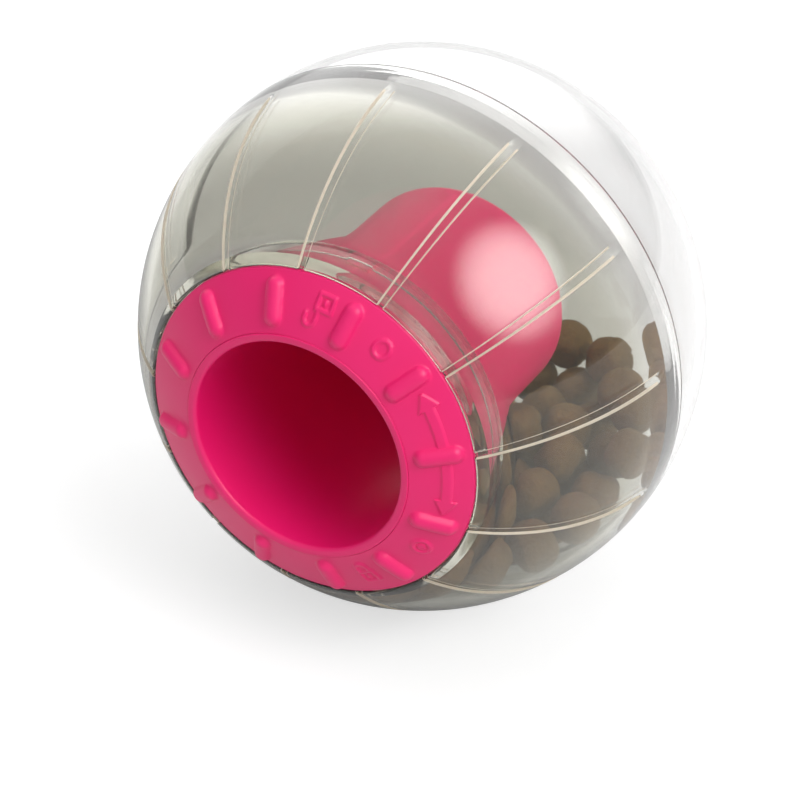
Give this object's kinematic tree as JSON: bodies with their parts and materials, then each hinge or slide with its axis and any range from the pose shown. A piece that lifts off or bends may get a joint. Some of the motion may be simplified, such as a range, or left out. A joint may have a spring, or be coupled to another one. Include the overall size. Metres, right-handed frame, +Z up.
{
  "type": "treat ball",
  "caption": "See-through rolling treat ball of two halves, with a fluted smoke-tinted front, a twist-lock grip ring and a closed treat tube with a side window.",
  "frame": {"origin": "centre of the ball, on the axis of the mouth", "axes": "+Z up, -Y out of the mouth, X to the side"},
  "size_m": [0.11, 0.1035, 0.11],
  "materials": {
    "smoke_plastic": "clear moulded plastic with a smoke tint, polished",
    "clear_plastic": "clear moulded plastic, polished",
    "pink_plastic": "moulded pink plastic, satin",
    "baked_treat": "baked dry pet treat, rough"
  },
  "bodies": {
    "ball": {"front_shell": "smoke_plastic", "rear_shell": "clear_plastic", "treats": "baked_treat"},
    "tube": {"treat_tube": "pink_plastic"},
    "ring": {"lock_ring": "pink_plastic"}
  },
  "joints": [
    {"name": "mouthpiece_pull", "type": "slide", "parent": "ball", "child": "tube", "axis": [0, -1, 0], "range_m": [0, 0.07]},
    {"name": "ring_twist", "type": "hinge", "parent": "tube", "child": "ring", "pos_m": [0, -0.0425, 0], "axis": [0, 1, 0], "range_deg": [0, 50]}
  ]
}
